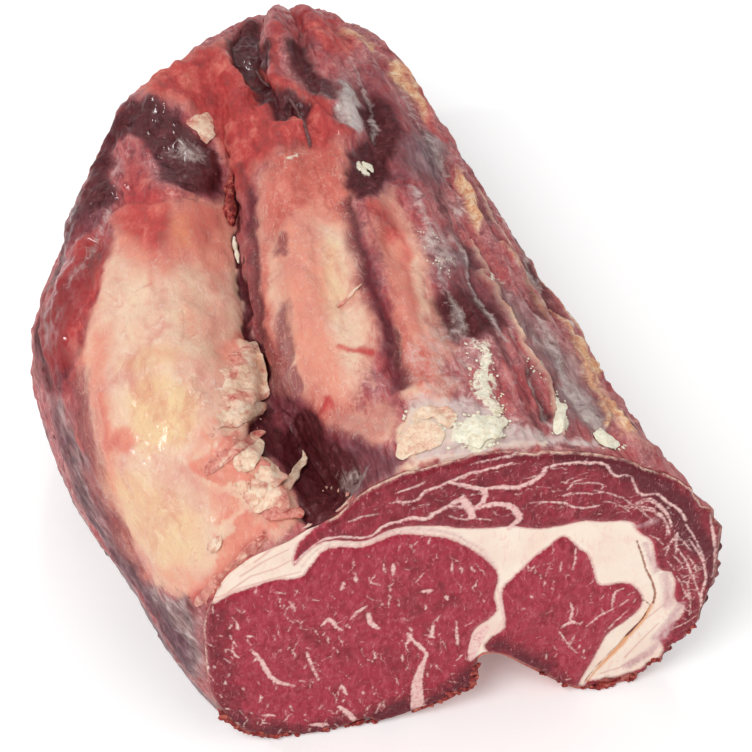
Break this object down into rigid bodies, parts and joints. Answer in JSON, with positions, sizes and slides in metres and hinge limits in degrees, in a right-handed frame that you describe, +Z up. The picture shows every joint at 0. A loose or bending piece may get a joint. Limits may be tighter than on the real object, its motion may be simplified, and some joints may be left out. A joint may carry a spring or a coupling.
{
  "type": "dry-aged ribeye roast",
  "caption": "Boneless dry-aged beef rib roast, cut straight across at one end: marbled muscles with seam fat inside, a dried crust and a thick fat cap outside.",
  "frame": {"origin": "middle of the roast's box at the surface that it rests on", "axes": "+Y from the cut face towards the rounded far end, +X to the right of someone who looks at the cut face, +Z up"},
  "size_m": [0.2348, 0.384, 0.1315],
  "materials": {
    "eye_muscle": "moist raw beef, crimson, with fine white marbling",
    "inner_muscle": "moist raw beef, crimson, with little marbling",
    "cap_muscle": "raw beef on the cut face, a dry purple-grey crust outside",
    "fat": "dried cream and pink fat, waxy with glossy patches"
  },
  "bodies": {
    "root": {"eye_muscle": "eye_muscle", "inner_muscle": "inner_muscle", "cap_muscle": "cap_muscle", "fat": "fat"}
  },
  "joints": []
}
